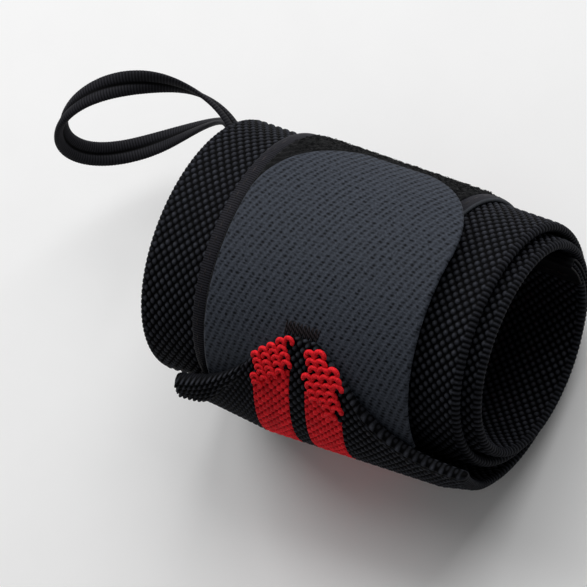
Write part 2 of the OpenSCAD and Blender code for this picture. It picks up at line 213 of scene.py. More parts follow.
def strap_faces(u, v, face, rise=bead_rise, radius=bead_r):
    """Height over the strap's inner face of a point on its outer (1) or inner (0) face."""
    rib = np.abs(np.sin(math.pi * v / pick)) ** 0.7
    in_rim = ease((np.abs(u) - half_w + rim) / 0.5)
    high = beads(u / yarn, v / pick, radius) * (1.0 - in_rim) + 0.75 * rib * in_rim
    half = (mid_t - rise + rise * high) * rounding(u, 1.1, 1.15)
    return mid_t + np.where(face > 0.5, half, -half)


def selvedge(u, v):
    """Sideways wave of the outermost yarns, where each pick turns back round the edge."""
    edge = np.clip(np.abs(u) - half_w + yarn, 0.0, 1.0)
    return 0.12 * np.sign(u) * edge * (np.abs(np.sin(math.pi * v / pick)) - 0.6)


def lay_strap(u, v, face):
    """The inner end is pressed thin inside its binding."""
    t = np.interp(v, strap_run, strap_angles)
    tongue = 1.0 - end_squeeze * (1.0 - ease((v - end_squeeze_to) / 0.8))
    h = mid_t + (strap_faces(u, v, face) - mid_t) * tongue
    return wound(centre_x(t) + drawn_x(u, t) + selvedge(u, v), t, lay(t) - sink(u, t) + h)


def weave_strip(u0, u1, p0, p1):
    """Grid of a strip of weave between two picks, with a few faces to each yarn."""
    across = int(round((u1 - u0) / yarn)) * yarn_faces
    return (u0, u1, across, p0 * pick, p1 * pick, (p1 - p0) * yarn_faces)


def linear(code):
    """Linear colour of an sRGB hex value."""
    part = [int(code[i:i + 2], 16) / 255.0 for i in (1, 3, 5)]
    return tuple(c / 12.92 if c <= 0.04045 else ((c + 0.055) / 1.055) ** 2.4 for c in part) + (1.0,)


def put(tree, kind, inputs=None, **settings):
    """Adds a node, with its settings and with values or links for its inputs."""
    n = tree.nodes.new(kind)
    for key, value in settings.items():
        setattr(n, key, value)
    for key, value in (inputs or {}).items():
        if isinstance(value, bpy.types.NodeSocket):
            tree.links.new(value, n.inputs[key])
        else:
            n.inputs[key].default_value = value
    return n


def bare_material(name):
    """A new material with an empty node tree."""
    material = bpy.data.materials.new(name)
    material.use_nodes = True
    material.node_tree.nodes.clear()
    return material, material.node_tree


def woven_yarn(name, gap_shade, lit_crown, gap_from, crown_to):
    """Bulky polyester yarn: each crossing has a soft dull top of broken filaments, painted lighter as
    highlight, and round it painted shade, near black.

    The filaments are drawn coarser than real so that they show."""
    material, tree = bare_material(name)
    flat = put(tree, "ShaderNodeUVMap", uv_map="flat").outputs["UV"]
    one_way = put(tree, "ShaderNodeVectorMath", {
        0: flat, 1: (0.5 / yarn, 0.5 / pick, 0.0),
    }, operation="DOT_PRODUCT")
    other_way = put(tree, "ShaderNodeVectorMath", {
        0: flat, 1: (0.5 / yarn, -0.5 / pick, 0.0),
    }, operation="DOT_PRODUCT")
    crossing = put(tree, "ShaderNodeCombineXYZ", {
        "X": one_way.outputs["Value"], "Y": other_way.outputs["Value"],
    })
    crossing = put(tree, "ShaderNodeVectorMath", {
        0: crossing.outputs[0], 1: (0.0, 0.5, 0.5),
    }, operation="ADD")
    which = put(tree, "ShaderNodeVectorMath", {0: crossing.outputs[0]}, operation="FLOOR")
    which = put(tree, "ShaderNodeTexWhiteNoise", {"Vector": which.outputs[0]}, noise_dimensions="2D")
    uneven = put(tree, "ShaderNodeMapRange", {
        "Value": which.outputs["Value"], "To Min": 0.72, "To Max": 1.12,
    })
    crossing = put(tree, "ShaderNodeVectorMath", {0: crossing.outputs[0]}, operation="FRACTION")
    off = put(tree, "ShaderNodeVectorMath", {
        0: crossing.outputs[0], 1: (0.5, 0.5, 0.5),
    }, operation="DISTANCE")
    # Painted shade: near black in the hollows between the beads, rising to a lighter crown as painted
    # highlight.
    bead_shade = put(tree, "ShaderNodeMapRange", {
        "Value": off.outputs["Value"], "From Min": gap_from, "From Max": crown_to,
    })
    axes = put(tree, "ShaderNodeSeparateXYZ", {0: flat})
    side = put(tree, "ShaderNodeMath", {0: axes.outputs["X"]}, operation="ABSOLUTE")
    side = put(tree, "ShaderNodeMapRange", {
        "Value": side.outputs[0], "From Min": half_w - rim, "From Max": half_w - rim + 0.4,
    })
    # At the rim the beads give way to ribs across the picks, painted darker between them as shade.
    rib = put(tree, "ShaderNodeMath", {0: axes.outputs["Y"], 1: pick / 2.0}, operation="PINGPONG")
    rib = put(tree, "ShaderNodeMapRange", {
        "Value": rib.outputs[0], "From Min": 0.1, "From Max": pick / 2.0, "To Max": 0.7,
    })
    bead_shade = put(tree, "ShaderNodeMix", {
        "Factor": side.outputs["Result"], "A": bead_shade.outputs["Result"], "B": rib.outputs["Result"],
    }, data_type="FLOAT")
    filaments_per_mm = 2.6
    filaments = put(tree, "ShaderNodeTexNoise", {
        "Vector": flat, "Scale": filaments_per_mm, "Detail": 3.0, "Roughness": 0.65,
    })
    broken = put(tree, "ShaderNodeMapRange", {
        "Value": filaments.outputs["Fac"], "From Min": 0.3, "From Max": 0.7, "To Min": 0.5, "To Max": 1.1,
    })
    shade_and_tone = put(tree, "ShaderNodeMath", {
        0: bead_shade.outputs["Result"], 1: broken.outputs["Result"],
    }, operation="MULTIPLY")
    shade_and_tone = put(tree, "ShaderNodeMath", {
        0: shade_and_tone.outputs[0], 1: uneven.outputs["Result"],
    }, operation="MULTIPLY")
    ramp = put(tree, "ShaderNodeValToRGB", {"Fac": shade_and_tone.outputs[0]})
    ramp.color_ramp.elements[0].color = linear(gap_shade)
    ramp.color_ramp.elements[1].color = linear(lit_crown)
    bump = put(tree, "ShaderNodeBump", {"Height": shade_and_tone.outputs[0], "Strength": 0.4, "Distance": 0.0002})
    shader = put(tree, "ShaderNodeBsdfPrincipled", {
        "Base Color": ramp.outputs["Color"], "Roughness": 0.6, "Normal": bump.outputs["Normal"],
        "IOR": 1.5, "Specular IOR Level": 0.03,
    })
    put(tree, "ShaderNodeOutputMaterial", {"Surface": shader.outputs["BSDF"]})
    return material


# Each yarn's first colour is painted shade for the hollows between beads; its second is the crown's own
# colour lifted by painted highlight.
black_yarn = woven_yarn("black_polyester_weave", "#030304", "#383a41", 0.46, 0.14)
red_yarn = woven_yarn("red_polyester_weave", "#6c0d12", "#ff2c36", 0.63, 0.42)
tail_from = 832.0
outer_from = 450.0
wound_picks = int(np.interp(tail_from, strap_angles, strap_run) / pick)
inner_picks = int(np.interp(outer_from, strap_angles, strap_run) / pick)
black_bands = [
    ("hand", [(-half_w, -stripe_to), (-stripe_from, stripe_from)]),
    ("elbow", [(stripe_to, half_w)]),
]
for side, bands in black_bands:
    for turns, p0, p1 in (("inner", 0, inner_picks), ("outer", inner_picks, wound_picks)):
        strips = [weave_strip(u0, u1, p0, p1) for u0, u1 in bands]
        piece = cloth(f"wound_strap_{side}_{turns}", strips, lay_strap)
        piece.data.materials.append(black_yarn)
        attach(piece, "wrap")
        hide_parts("elastic_strap")


# Red stripes of the wound strap
# Two bands of red warp yarn, nine yarns each, woven into the webbing with the black yarn's bead, on either
# side of four black yarns in the middle.
red_widths = [("left", -stripe_to, -stripe_from), ("right", stripe_from, stripe_to)]
for side, u0, u1 in red_widths:
    piece = cloth(f"strap_stripe_{side}_yarn", [weave_strip(u0, u1, 0, wound_picks)], lay_strap)
    piece.data.materials.append(red_yarn)
    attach(piece, "wrap")
    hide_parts(f"strap_stripe_{side}")


# Binding of the inner end
# A thin woven polyester tape folded over the strap's cut end and sewn through with one row of lock stitches.
# It faces the passage beside the thumb loop's root, under the second turn.
hem_len = 8.0
hem_t = 0.45
hem_rib = 0.5
hem_to = float(np.interp(hem_len, strap_run, strap_angles))
hem_leg = hem_len - 0.2
hem_bend = math.pi * (strap_t - hem_t) / 2.0 * 0.62
mm_per_degree = 0.387


def lay_binding(u, v, face):
    """v runs up the inner leg, round the strap's end and back along the outer leg."""
    q = np.where(v < hem_leg, hem_leg - v, np.where(v > hem_leg + hem_bend, v - hem_leg - hem_bend, 0.0))
    turn = np.clip((v - hem_leg) / hem_bend, 0.0, 1.0) * math.pi
    t = np.interp(q, strap_run, strap_angles)
    thick = np.where(face > 0.5, 1.0, -1.0) * hem_t / 2.0 * (0.8 + 0.2 * np.abs(np.sin(np.pi * u / hem_rib)))
    off = (strap_t - hem_t) / 2.0 + thick
    h = mid_t - off * np.cos(turn)
    nose = 0.55 * np.sin(turn) * off
    return wound(inner_shift + u, t - nose / mm_per_degree, lay(t) + h)


def narrow_tape(name, dark, light, rib, guide=None):
    """Woven narrow tape: close smooth ribs with a low shine, painted darker between them as shade and lighter
    on top as highlight, and from guide outwards a pale edge thread.

    Its ribs and fuzz are drawn coarser than real so that they show."""
    material, tree = bare_material(name)
    flat = put(tree, "ShaderNodeUVMap", uv_map="flat").outputs["UV"]
    part = put(tree, "ShaderNodeSeparateXYZ", {"Vector": flat})
    ribs = put(tree, "ShaderNodeMath", {0: part.outputs["Y"], 1: 2.0 * math.pi / rib}, operation="MULTIPLY")
    ribs = put(tree, "ShaderNodeMath", {0: ribs.outputs[0]}, operation="SINE")
    ribs = put(tree, "ShaderNodeMapRange", {"Value": ribs.outputs[0], "From Min": -1.0, "From Max": 1.0})
    fuzz_per_mm = 1.8
    fuzz = put(tree, "ShaderNodeTexNoise", {
        "Vector": flat, "Scale": fuzz_per_mm, "Detail": 4.0, "Roughness": 0.65,
    })
    shade_and_tone = put(tree, "ShaderNodeMix", {"Factor": 0.4, "A": ribs.outputs["Result"], "B": fuzz.outputs["Fac"]})
    # dark is the painted shade between the ribs, light their crests with painted highlight; the fuzz varies
    # at random.
    ramp = put(tree, "ShaderNodeValToRGB", {"Fac": shade_and_tone.outputs["Result"]})
    ramp.color_ramp.elements[0].position = 0.15
    ramp.color_ramp.elements[0].color = linear(dark)
    ramp.color_ramp.elements[1].position = 0.8
    ramp.color_ramp.elements[1].color = linear(light)
    colour = ramp.outputs["Color"]
    if guide:
        edge = put(tree, "ShaderNodeMapRange", {
            "Value": part.outputs["X"], "From Min": guide, "From Max": guide + 0.1,
        })
        pale = put(tree, "ShaderNodeMix", {
            "Factor": edge.outputs["Result"], "A": colour, "B": linear("#3a3d42"),
        }, data_type="RGBA")
        colour = pale.outputs[2]
    bump = put(tree, "ShaderNodeBump", {
        "Height": shade_and_tone.outputs["Result"], "Strength": 0.3, "Distance": 0.0001,
    })
    shader = put(tree, "ShaderNodeBsdfPrincipled", {
        "Base Color": colour, "Roughness": 0.55, "Normal": bump.outputs["Normal"],
        "IOR": 1.53, "Specular IOR Level": 0.04,
    })
    put(tree, "ShaderNodeOutputMaterial", {"Surface": shader.outputs["BSDF"]})
    return material


binding_tape = narrow_tape("binding_tape_twill", "#08080a", "#17181a", 0.6)
binding_run = 2.0 * hem_leg + hem_bend
binding = cloth("inner_end_binding_tape", [(-half_w, half_w, 320, 0.0, binding_run, 48)], lay_binding)
binding.data.materials.append(binding_tape)
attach(binding, "wrap")
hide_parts("inner_end_binding")


def facing(first, out):
    """Turn that takes X to first and Z to out."""
    first = Vector(first).normalized()
    out = Vector(out).normalized()
    return Matrix((first, out.cross(first), out)).transposed().to_4x4()


def stitches(name, spots, length, width, rise):
    """Thread lying on cloth: at each spot in mm a bowed strand whose ends go down into the cloth."""
    size = Matrix.Diagonal((length / 2.0, width / 2.0, rise, 1.0))
    bm = bmesh.new()
    for at, along, out in spots:
        place = Matrix.Translation(Vector(at) * 0.001) @ facing(along, out) @ size
        bmesh.ops.create_uvsphere(bm, u_segments=10, v_segments=6, radius=0.001, matrix=place)
    return new_piece(mesh_of(name, bm))


def on_wrap(x, t, h):
    """A place on the winding with its directions: point, across the strap, along the winding, outwards."""
    at = wound(x, t, h)
    across = wound(x + 0.5, t, h) - at
    along = wound(x, t + 0.5, h) - at
    out = np.cross(across, along)
    return at, across, along, out


def sewing_thread():
    """Twisted polyester sewing thread with a slight shine, its plies painted lighter on their crests and
    darker between them as shade. Its plies are drawn coarser than real, to show.
    """
    material, tree = bare_material("twisted_polyester_thread")
    place = put(tree, "ShaderNodeTexCoord").outputs["Object"]
    ply_gap = 0.806
    scale = 200.0 * math.pi / (math.sqrt(3.0) * ply_gap)
    plies = put(tree, "ShaderNodeTexWave", {
        "Vector": place, "Scale": scale, "Distortion": 1.0, "Detail": 1.0,
    }, bands_direction="DIAGONAL")
    # The ramp paints highlight on the plies' crests and shade in the twist between them.
    ramp = put(tree, "ShaderNodeValToRGB", {"Fac": plies.outputs["Fac"]})
    ramp.color_ramp.elements[0].color = linear("#0a090a")
    ramp.color_ramp.elements[1].color = linear("#2a2528")
    bump = put(tree, "ShaderNodeBump", {"Height": plies.outputs["Fac"], "Strength": 0.4, "Distance": 0.0001})
    shader = put(tree, "ShaderNodeBsdfPrincipled", {
        "Base Color": ramp.outputs["Color"], "Roughness": 0.5, "Normal": bump.outputs["Normal"],
        "IOR": 1.5, "Specular IOR Level": 0.12,
    })
    put(tree, "ShaderNodeOutputMaterial", {"Surface": shader.outputs["BSDF"]})
    return material


thread = sewing_thread()
row_at = hem_to * 0.7
stitch_step = 3.6
spots = []
for k in range(21):
    at, across, along, out = on_wrap(inner_shift + (k - 10) * stitch_step, row_at, lay(row_at) - 0.05)
    spots.append((at, across, -out))
binding_row = stitches("binding_stitches", spots, 2.6, 0.42, 0.24)
binding_row.data.materials.append(thread)
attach(binding_row, "wrap")
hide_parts("binding_stitching")


# Thumb loop
# A flat elastic band of two round braided cords woven side by side, with a sewn groove down the middle.
# Both ends are laid on each other in the pocket before the strap's inner end and bar-tacked to the binding.
band_w = 5.5
cord_half = band_w / 4.0
band_rib = 0.7
loop_reach = 43.0
loop_spread = 14.4
loop_lift = 10.3
loop_sag = 22.0
ply = 0.6
root_at = -16.0
root_from = -23.0
root_to = -41.2
swing_x = -42.0
root_tack_from = -23.6
root_tack_step = 0.62
swing = wound(swing_x, root_at, mid_t)
root_side = np.array([0.0, math.sin(math.radians(root_at)), math.cos(math.radians(root_at))])
root_out = np.array([0.0, math.cos(math.radians(root_at)), -math.sin(math.radians(root_at))])


def loop_rise(d):
    """How far outwards the band stands at a distance d from the strap's edge."""
    return loop_lift * (1.0 - np.exp(-d / 8.0)) - loop_sag * (d / loop_reach) ** 2


def sampled(at, known, values):
    """Rows of values read off at places between the known ones."""
    return np.stack([np.interp(at, known, values[:, k]) for k in range(3)], axis=1)


def band_path():
    """Middle line of the whole band, with its flat side and fullness, from one sewn end to the other."""
    u = np.linspace(0.0, 1.0, 401)
    d = loop_reach * np.sin(np.pi * u)
    slope = (loop_rise(d + 0.1) - loop_rise(d)) / 0.1
    lean = np.stack([slope, np.ones_like(slope), np.zeros_like(slope)], axis=1)
    lean = lean / np.linalg.norm(lean, axis=1, keepdims=True)
    spread = swing[2] + loop_spread * np.sin(2.0 * np.pi * u)
    line = np.stack([swing[0] - d, swing[1] + loop_rise(d), spread], axis=1)
    line = line + lean * np.cos(np.pi * u)[:, None] * 0.7
    turn = ease(np.minimum(u, 1.0 - u) / 0.3)[:, None]
    side = root_side * (1.0 - turn) * np.where(u < 0.5, 1.0, -1.0)[:, None] + np.array([0.0, 1.0, 0.0]) * turn
    sewn = 60
    x = np.linspace(root_from, root_to, sewn)
    seat = wound(x, np.full_like(x, root_at), np.full_like(x, mid_t))
    first = seat + root_out * ply
    last = (seat - root_out * ply)[::-1]
    path = np.concatenate([first, line[8:-8], last])
    flat = np.concatenate([np.tile(root_side, (sewn, 1)), side[8:-8], np.tile(-root_side, (sewn, 1))])
    full = np.concatenate([np.zeros(sewn), turn[8:-8, 0], np.zeros(sewn)])
    run = np.concatenate([[0.0], np.cumsum(np.linalg.norm(np.diff(path, axis=0), axis=1))])
    even = np.linspace(0.0, run[-1], 1200)
    path = sampled(even, run, path)
    flat = sampled(even, run, flat)
    full = np.interp(even, run, full)
    for _ in range(30):
        path[1:-1] = path[1:-1] * 0.5 + (path[2:] + path[:-2]) * 0.25
    return path, flat, full, run[-1]


path, flat_side, fullness, band_len = band_path()
along = np.gradient(path, axis=0)
along = along / np.linalg.norm(along, axis=1, keepdims=True)
flat_side = flat_side - along * np.sum(flat_side * along, axis=1, keepdims=True)
flat_side = flat_side / np.linalg.norm(flat_side, axis=1, keepdims=True)
upward = np.cross(flat_side, along)
bm = bmesh.new()
bmesh.ops.create_grid(bm, x_segments=36, y_segments=int(band_len / band_rib) * 4, size=1.0)
mesh = mesh_of("thumb_loop_band", bm)
rolled, corner = points_of(mesh)
v = (rolled[:, 1] + 1.0) / 2.0 * band_len
angle = (rolled[:, 0] + 1.0) * math.pi
index = v / band_len * (len(path) - 1)
steps = np.arange(len(path))
full = np.interp(index, steps, fullness)
across = np.cos(angle) * band_w / 2.0
round_part = np.sqrt(np.clip(1.0 - ((np.abs(across) - cord_half) / cord_half) ** 2, 0.0, 1.0))
half = (0.5 + 0.35 * full) * np.maximum(round_part, 0.34 * np.abs(np.sin(angle)))
ribs = 0.07 * full * np.abs(np.sin(np.pi * v / band_rib + 0.6 * np.sign(across)))
sideways = across * (1.0 + ribs / (band_w / 2.0))
height = np.sign(np.sin(angle)) * half * (1.0 + ribs / (half + 0.4))
laid = sampled(index, steps, path)
laid = laid + sampled(index, steps, flat_side) * sideways[:, None]
laid = laid + sampled(index, steps, upward) * height[:, None]
mesh.uv_layers.new(name="flat").data.foreach_set("uv", np.stack([across, v], axis=1)[corner].ravel())
mesh.vertices.foreach_set("co", (laid * 0.001).ravel())
bm = bmesh.new()
bm.from_mesh(mesh)
bmesh.ops.remove_doubles(bm, verts=bm.verts[:], dist=1e-6)
bmesh.ops.holes_fill(bm, edges=[e for e in bm.edges if e.is_boundary], sides=0)
bmesh.ops.recalc_face_normals(bm, faces=bm.faces[:])
bm.to_mesh(mesh)
bm.free()
thumb_band = new_piece(mesh)


def braided_elastic():
    """Braided polyester over rubber: close ribs across each cord, painted as shade and highlight, and a sewn
    groove between them painted dark as shade.

    The ribs and the fuzz are drawn a little coarser than real so that they show."""
    material, tree = bare_material("braided_elastic_band")
    flat = put(tree, "ShaderNodeUVMap", uv_map="flat").outputs["UV"]
    part = put(tree, "ShaderNodeSeparateXYZ", {"Vector": flat})
    ribs = put(tree, "ShaderNodeMath", {
        0: part.outputs["Y"], 1: 2.0 * math.pi / band_rib,
    }, operation="MULTIPLY")
    ribs = put(tree, "ShaderNodeMath", {0: ribs.outputs[0]}, operation="SINE")
    fuzz_per_mm = 2.5
    fuzz = put(tree, "ShaderNodeTexNoise", {
        "Vector": flat, "Scale": fuzz_per_mm, "Detail": 4.0, "Roughness": 0.7,
    })
    # The ribs are painted lighter on their crests and darker between them, as highlight and shade.
    shade_and_tone = put(tree, "ShaderNodeMapRange", {"Value": ribs.outputs[0], "From Min": -1.0, "From Max": 1.0})
    shade_and_tone = put(tree, "ShaderNodeMix", {"Factor": 0.4, "A": shade_and_tone.outputs["Result"], "B": fuzz.outputs["Fac"]})
    # Painted shade: the colour darkens into the sewn groove down the middle of the band.
    away = put(tree, "ShaderNodeMath", {0: part.outputs["X"]}, operation="ABSOLUTE")
    groove_shade = put(tree, "ShaderNodeMapRange", {"Value": away.outputs[0], "From Min": 0.15, "From Max": 0.55})
    shade_and_tone = put(tree, "ShaderNodeMath", {
        0: shade_and_tone.outputs["Result"], 1: groove_shade.outputs["Result"],
    }, operation="MULTIPLY")
    ramp = put(tree, "ShaderNodeValToRGB", {"Fac": shade_and_tone.outputs[0]})
    ramp.color_ramp.elements[0].color = linear("#060607")
    ramp.color_ramp.elements[1].color = linear("#303035")
    bump = put(tree, "ShaderNodeBump", {"Height": shade_and_tone.outputs[0], "Strength": 0.5, "Distance": 0.00015})
    shader = put(tree, "ShaderNodeBsdfPrincipled", {
        "Base Color": ramp.outputs["Color"], "Roughness": 0.6, "Normal": bump.outputs["Normal"],
        "IOR": 1.5, "Specular IOR Level": 0.04,
    })
    put(tree, "ShaderNodeOutputMaterial", {"Surface": shader.outputs["BSDF"]})
    return material


thumb_band.data.materials.append(braided_elastic())
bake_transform(thumb_band)
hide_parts("thumb_loop", "thumb_loop_root")
spots = []
for k in range(14):
    at, across, along, out = on_wrap(root_tack_from - k * root_tack_step, root_at / 3.0, -0.12)
    spots.append((at, along + across * (0.12 if k % 2 else -0.12), -out))
root_tack = stitches("thumb_loop_bar_tack", spots, 5.6, 0.5, 0.26)
root_tack.data.materials.append(thread)
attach(root_tack, "wrap")
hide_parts("thumb_loop_bartack")


# Loop tape
# A 50 mm nylon tape sewn on the outside of the second turn: a smooth ribbed selvedge on each side, and
# between them a brushed pile of fine loops that the hooks catch in.
tape_w = 50.0
tape_half = tape_w / 2.0
tape_t = 0.6
pile_t = 1.0
tape_rib = 0.55
selvedge_in = 21.6
roll_at = 23.3
roll_r = 1.7
sewn_at = 23.4
guide_at = 24.6
pile_half = tape_half - 3.2
tape_from = 562.0
tape_to = 770.0
tape_angles = np.arange(tape_from, tape_to + 0.5, 0.5)
tape_run = arc_table(tape_angles, lay(tape_angles) + strap_t + tape_t)
tape_len = float(tape_run[-1])


def lay_tape(u, v, face):
    """Each selvedge is rolled up, with ribs across it, drawn a little coarser than real so that they show."""
    t = np.interp(v, tape_run, tape_angles)
    roll = np.sqrt(1.0 - np.clip((np.abs(u) - roll_at) / roll_r, -1.0, 1.0) ** 2)
    top = 0.5 + roll * (0.4 + 0.06 * np.abs(np.sin(math.pi * v / tape_rib)))
    return wound(centre_x(t) + u, t, lay(t) + strap_t + np.where(face > 0.5, top, 0.02))


rib_faces = int(tape_len / tape_rib) * 4
tape = cloth("loop_tape_ground", [
    (-tape_half, -selvedge_in, 12, 0.0, tape_len, rib_faces),
    (-selvedge_in, selvedge_in, 12, 0.0, tape_len, 120),
    (selvedge_in, tape_half, 12, 0.0, tape_len, rib_faces),
], lay_tape)
tape.data.materials.append(narrow_tape("ribbed_nylon_tape", "#030304", "#2b2b31", tape_rib, guide=guide_at))
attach(tape, "wrap")
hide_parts("loop_tape")
tuft = 1.05
fuzz_at = 672.0
fuzz_loops = 2600
pile_rng = np.random.default_rng(7)
pile_wave = pile_rng.uniform(0.0, 2.0 * math.pi, 6)


def lay_pile(u, v, face):
    """A mat of crowded tufts whose tops stand at uneven heights."""
    t = np.interp(v, tape_run, tape_angles)
    uneven = 0.5 + 0.25 * np.sin(u * 1.9 + 1.3 * np.sin(v * 0.7 + pile_wave[0]) + pile_wave[1])
    uneven = uneven + 0.25 * np.sin(v * 2.3 + 1.7 * np.sin(u * 0.9 + pile_wave[2]) + pile_wave[3])
    slip = 0.35 * np.sin(u * 0.8 + pile_wave[4]) + 0.3 * np.sin(v * 1.1 + pile_wave[5])
    tufts = beads((u + slip) / tuft, v / tuft + 0.3 * np.sin(u * 0.6), bead_r)
    edge = np.clip((np.abs(u) - pile_half + 0.7) / 0.75, 0.0, 1.0)
    ends = np.clip((np.maximum(1.2 - v, v - tape_len + 1.2)) / 1.0, 0.0, 1.0)
    top = (0.35 + 0.5 * tufts * (0.5 + 0.5 * uneven)) * np.sqrt(1.0 - edge ** 2) * np.sqrt(1.0 - ends ** 2)
    return wound(centre_x(t) + u, t, lay(t) + strap_t + tape_t + np.where(face > 0.5, top, -0.1))


def brushed_pile():
    """Brushed nylon loops: painted shade, nearly black, down among the loops, with a soft sheen along the
    grazing edge.

    The tangle is drawn coarser than real so that it shows."""
    material, tree = bare_material("brushed_nylon_pile")
    place = put(tree, "ShaderNodeTexCoord").outputs["Object"]
    loops_per_mm = 1.4
    tangle = put(tree, "ShaderNodeTexNoise", {
        "Vector": place, "Scale": 1000.0 * loops_per_mm, "Detail": 4.0, "Roughness": 0.7, "Distortion": 0.6,
    })
    # The colour follows the tangle's height: its low places are painted darker as shade.
    ramp = put(tree, "ShaderNodeValToRGB", {"Fac": tangle.outputs["Fac"]})
    ramp.color_ramp.elements[0].position = 0.35
    ramp.color_ramp.elements[0].color = linear("#060607")
    ramp.color_ramp.elements[1].position = 0.7
    ramp.color_ramp.elements[1].color = linear("#141517")
    bump = put(tree, "ShaderNodeBump", {"Height": tangle.outputs["Fac"], "Strength": 0.7, "Distance": 0.0003})
    shader = put(tree, "ShaderNodeBsdfPrincipled", {
        "Base Color": ramp.outputs["Color"], "Roughness": 0.8, "Normal": bump.outputs["Normal"],
        "IOR": 1.53, "Specular IOR Level": 0.1, "Sheen Weight": 0.03, "Sheen Roughness": 0.4,
    })
    put(tree, "ShaderNodeOutputMaterial", {"Surface": shader.outputs["BSDF"]})
    return material


pile_material = brushed_pile()
pile = cloth("loop_pile_mat", [(-pile_half, pile_half, 126, 0.2, tape_len - 0.2, 240)], lay_pile)
pile.data.materials.append(pile_material)
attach(pile, "wrap")
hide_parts("loop_pile")


def bent_strand(name, bend, tube, sides, sweep, steps, closed=True, turn=None):
    """One strand bent round Y on a radius through an angle in degrees, for others to be copied from."""
    bm = bmesh.new()
    at = Matrix.Translation((bend, 0.0, 0.0))
    ring = bmesh.ops.create_circle(bm, segments=sides, radius=tube, matrix=at)["verts"]
    edges = list({e for v in ring for e in v.link_edges})
    bmesh.ops.spin(
        bm, geom=ring + edges, cent=(0.0, 0.0, 0.0), axis=(0.0, 1.0, 0.0), dvec=(0.0, 0.0, 0.0),
        angle=-math.radians(sweep), steps=steps, use_merge=False, use_duplicate=False,
    )
    if closed:
        bmesh.ops.holes_fill(bm, edges=[e for e in bm.edges if e.is_boundary], sides=0)
    if turn:
        bmesh.ops.transform(bm, matrix=turn, verts=bm.verts[:])
    bmesh.ops.recalc_face_normals(bm, faces=bm.faces[:])
    return mesh_of(name, bm)


def scatter(name, strand, places):
    """A piece with a copy of a strand at each place."""
    bm = bmesh.new()
    for place in places:
        start = len(bm.verts)
        bm.from_mesh(strand)
        bm.verts.ensure_lookup_table()
        bmesh.ops.transform(bm, matrix=place, verts=bm.verts[start:])
    bpy.data.meshes.remove(strand)
    return new_piece(mesh_of(name, bm))


fuzz_from = float(np.interp(fuzz_at, tape_angles, tape_run))
places = []
for _ in range(fuzz_loops):
    u = pile_rng.uniform(-pile_half + 0.4, pile_half - 0.4)
    v = pile_rng.uniform(fuzz_from, tape_len - 0.8)
    t = float(np.interp(v, tape_run, tape_angles))
    at, across, along, out = on_wrap(centre_x(t) + u, t, lay(t) + strap_t + tape_t + 0.45)
    spin = Matrix.Rotation(pile_rng.uniform(0.0, 2.0 * math.pi), 4, Vector(out).normalized())
    size = Matrix.Diagonal((0.001, 0.001, 0.001 * pile_rng.uniform(0.7, 1.5), 1.0))
    tip = Matrix.Rotation(pile_rng.uniform(-0.5, 0.5), 4, Vector(across).normalized())
    places.append(Matrix.Translation(Vector(at) * 0.001) @ tip @ spin @ facing(across, out) @ size)
pile_loop = bent_strand("one_pile_loop", 0.3, 0.055, 3, 180.0, 5, closed=False)
pile_fuzz = scatter("loop_pile_fuzz", pile_loop, places)
pile_fuzz.data.materials.append(pile_material)
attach(pile_fuzz, "wrap")
spots = []
for side in (-1.0, 1.0):
    for k in range(1, int(tape_len / stitch_step)):
        t = float(np.interp(k * stitch_step, tape_run, tape_angles))
        x = centre_x(t) + side * sewn_at
        at, across, along, out = on_wrap(x, t, lay(t) + strap_t + 0.9)
        spots.append((at, along, out))
tape_rows = stitches("loop_tape_stitches", spots, 2.4, 0.36, 0.08)
tape_rows.data.materials.append(thread)
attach(tape_rows, "wrap")
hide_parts("loop_tape_stitching")


# Tail
# The strap's free end, drawn up in the middle by the tab that is sewn under it. The red yarns there stand in
# open loops, while both corners hang back in pleats, so the end makes an arch.
fold_run = wound_picks * pick
peak_at = 965.0
hand_droop = 20.0
elbow_droop = 21.5
pleat = 1.35
over_pile = 0.35
red_bead_r = 0.76
row_step = 1.75
ring_tip = 16.0


def tab_seat(t):
    """Height of the tab's underside, on the loop pile of the turn below."""
    return lay(t - 360.0) + strap_t + tape_t + pile_t + over_pile


tab_angles = np.arange(880.0, 1070.0, 0.5)
tab_run = arc_table(tab_angles, tab_seat(tab_angles) + 0.6)
tab_run = tab_run - np.interp(peak_at, tab_angles, tab_run)


def droop(u):
    """How far the strap's end hangs back from its peak at a distance u across."""
    hand = hand_droop * (1.0 - np.exp(-(np.clip(-u - 3.0, 0.0, None) / 18.5) ** 1.25))
    elbow = elbow_droop * (1.0 - np.exp(-(np.clip(u - 2.5, 0.0, None) / 16.0) ** 1.6))
    return hand + elbow


def tail_cut(u, v):
    """Flat place of a point at a share v of the way from the fold to the arched end."""
    end_at = np.interp(-droop(u), tab_run, tab_angles)
    return u, fold_run + v * (np.interp(end_at, strap_angles, strap_run) - fold_run)


def hand_corner(u):
    """How far, from 0 to 1, a point lies in the hand side's corner."""
    return ease((-u - 18.0) / 14.0)


def gather(u, v):
    """How far, from 0 to 1, a point lies in the gathered corners, with its distance from the end."""
    left = tail_cut(u, 1.0)[1] - v
    deep = np.where(u < 0.0, 5.5 + 5.0 * hand_corner(u), 4.5)
    return ease((np.abs(u) - 11.5) / 6.0) * ease((deep - left) / 4.0), left


